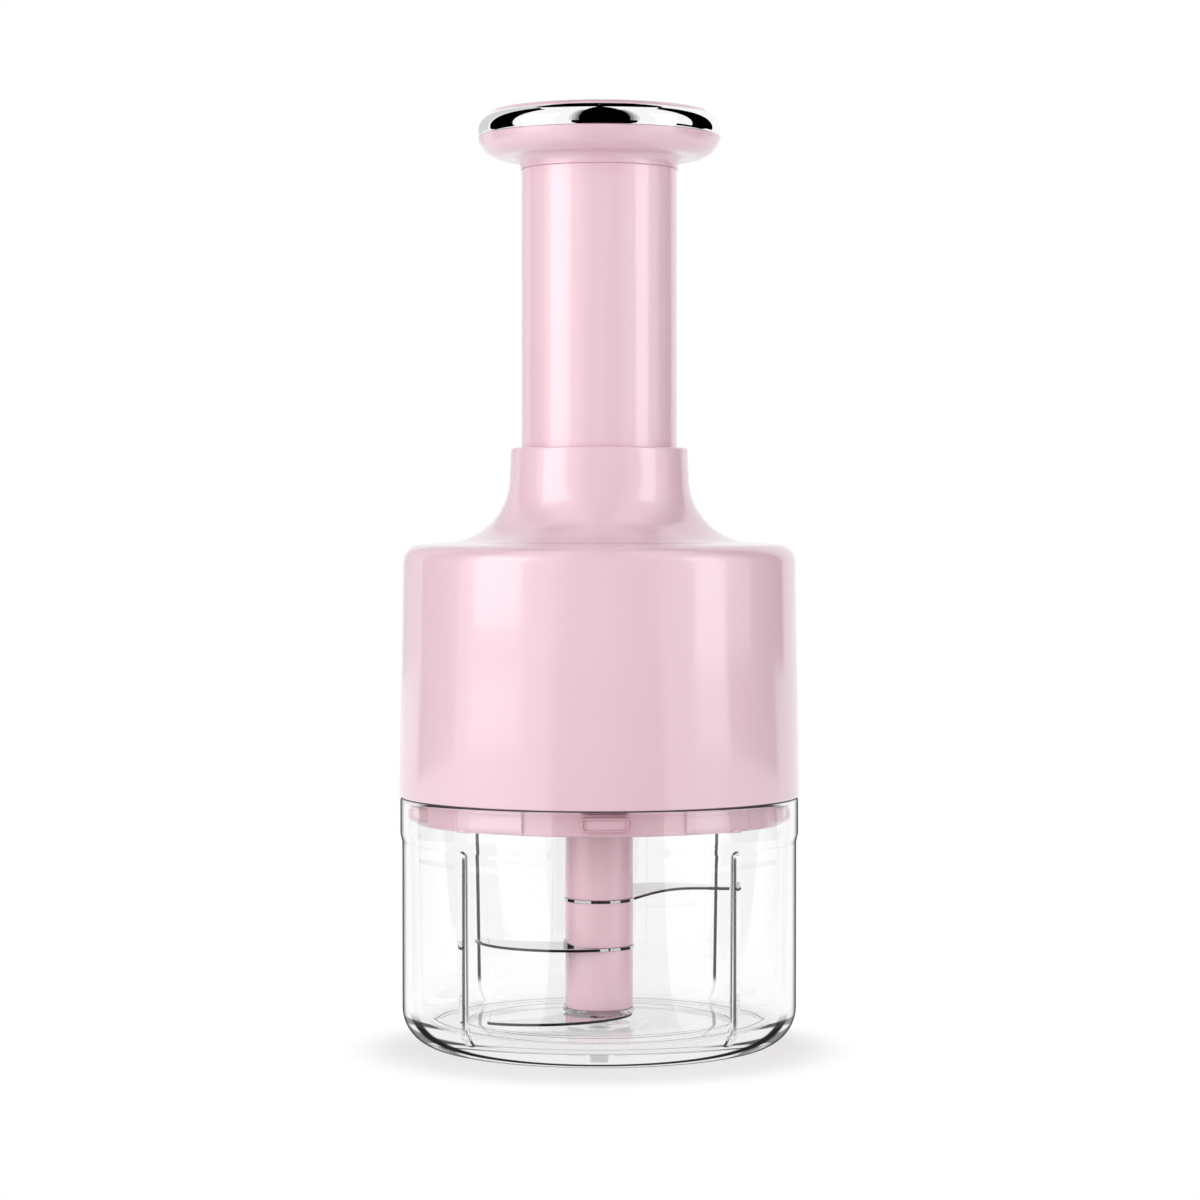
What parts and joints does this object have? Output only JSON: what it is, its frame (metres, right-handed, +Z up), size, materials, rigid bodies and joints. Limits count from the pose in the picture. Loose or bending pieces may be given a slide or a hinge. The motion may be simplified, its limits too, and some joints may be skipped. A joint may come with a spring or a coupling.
{
  "type": "plunger food chopper",
  "caption": "Hand-pressed food chopper: a clear bowl with a pivoting blade stack under a round head whose sprung plunger spins the blades through a steep screw and gears.",
  "frame": {"origin": "on the axis, on the surface that the bowl stands on", "axes": "+Z up along the axis, -Y the front, towards the middle centring lug of the lid, +X to the right as seen from the front"},
  "size_m": [0.104, 0.104, 0.2444],
  "materials": {
    "clear_glass": "clear and polished",
    "shell_plastic": "pale pink, high gloss",
    "lid_plastic": "pale pink, high gloss",
    "shaft_plastic": "pink, satin gloss",
    "blade_steel": "polished stainless sheet",
    "steel": "plain stainless",
    "bright_metal": "mirror-bright plating",
    "silicone": "matt, dark grey",
    "bronze": "sintered bronze",
    "white_plastic": "moulded, satin",
    "gear_plastic": "moulded acetal, satin",
    "screw_plastic": "moulded glass-filled nylon"
  },
  "bodies": {
    "bowl_body": {"bowl": "clear_glass", "floor_pin": "steel"},
    "blade_unit": {"blade_shaft": "shaft_plastic", "middle_sleeve": "shaft_plastic", "lower_sleeve": "shaft_plastic", "shaft_cap": "shaft_plastic", "upper_blade": "blade_steel", "middle_blade": "blade_steel", "lower_blade": "blade_steel"},
    "head": {"housing": "shell_plastic", "lid": "lid_plastic", "rim_seal": "silicone", "lid_screws": "steel", "spindle_bush": "bronze", "guide_sleeve": "white_plastic", "gear_cap": "white_plastic", "ring_gear": "gear_plastic", "return_spring": "steel"},
    "plunger": {"plunger_tube": "shell_plastic", "plunger_foot": "gear_plastic", "nut_tube": "white_plastic", "drive_nut": "gear_plastic", "knob_body": "shell_plastic", "bright_ring": "bright_metal", "knob_cap": "shell_plastic", "knob_screws": "steel"},
    "screw_body": {"drive_screw": "screw_plastic", "pawl_disc": "gear_plastic"},
    "carrier": {"planet_carrier": "gear_plastic", "planet_pins": "steel"},
    "planet_1": {"planet_gear_1": "gear_plastic"},
    "planet_2": {"planet_gear_2": "gear_plastic"},
    "planet_3": {"planet_gear_3": "gear_plastic"},
    "output": {"drive_spindle": "steel", "sun_gear": "gear_plastic"}
  },
  "joints": [
    {"name": "head_lift", "type": "slide", "parent": "bowl_body", "child": "head", "axis": [0, 0, 1], "range_m": [0, 0.08]},
    {"name": "plunger_slide", "type": "slide", "parent": "head", "child": "plunger", "axis": [0, 0, 1], "range_m": [-0.058, 0], "stiffness_N_per_m": 120, "springref_m": 0.06, "deforming": ["return_spring"]},
    {"name": "screw_spin", "type": "hinge", "parent": "head", "child": "screw_body", "pos_m": [0, 0, 0.07], "axis": [0, 0, 1], "range_deg": [0, 349]},
    {"name": "carrier_spin", "type": "hinge", "parent": "head", "child": "carrier", "pos_m": [0, 0, 0.0686], "axis": [0, 0, 1], "range_deg": [0, 349]},
    {"name": "planet_1_spin", "type": "hinge", "parent": "carrier", "child": "planet_1", "pos_m": [0.02438, 0, 0.0642], "axis": [0, 0, 1], "range_deg": [-995, 0]},
    {"name": "planet_2_spin", "type": "hinge", "parent": "carrier", "child": "planet_2", "pos_m": [-0.01219, 0.02111, 0.0642], "axis": [0, 0, 1], "range_deg": [-995, 0]},
    {"name": "planet_3_spin", "type": "hinge", "parent": "carrier", "child": "planet_3", "pos_m": [-0.01219, -0.02111, 0.0642], "axis": [0, 0, 1], "range_deg": [-995, 0]},
    {"name": "spindle_spin", "type": "hinge", "parent": "head", "child": "output", "pos_m": [0, 0, 0.0642], "axis": [0, 0, 1], "range_deg": [0, 1509]},
    {"name": "blade_spin", "type": "hinge", "parent": "bowl_body", "child": "blade_unit", "pos_m": [0, 0, 0.01], "axis": [0, 0, 1], "range_deg": [0, 1509]}
  ],
  "couplings": [
    {"joint": "screw_spin", "follows": "plunger_slide", "rad_per_m": -104.72},
    {"joint": "carrier_spin", "follows": "plunger_slide", "rad_per_m": -104.72},
    {"joint": "spindle_spin", "follows": "plunger_slide", "rad_per_m": -453.79},
    {"joint": "blade_spin", "follows": "plunger_slide", "rad_per_m": -453.79},
    {"joint": "planet_1_spin", "follows": "plunger_slide", "rad_per_m": 299.2},
    {"joint": "planet_2_spin", "follows": "plunger_slide", "rad_per_m": 299.2},
    {"joint": "planet_3_spin", "follows": "plunger_slide", "rad_per_m": 299.2}
  ]
}
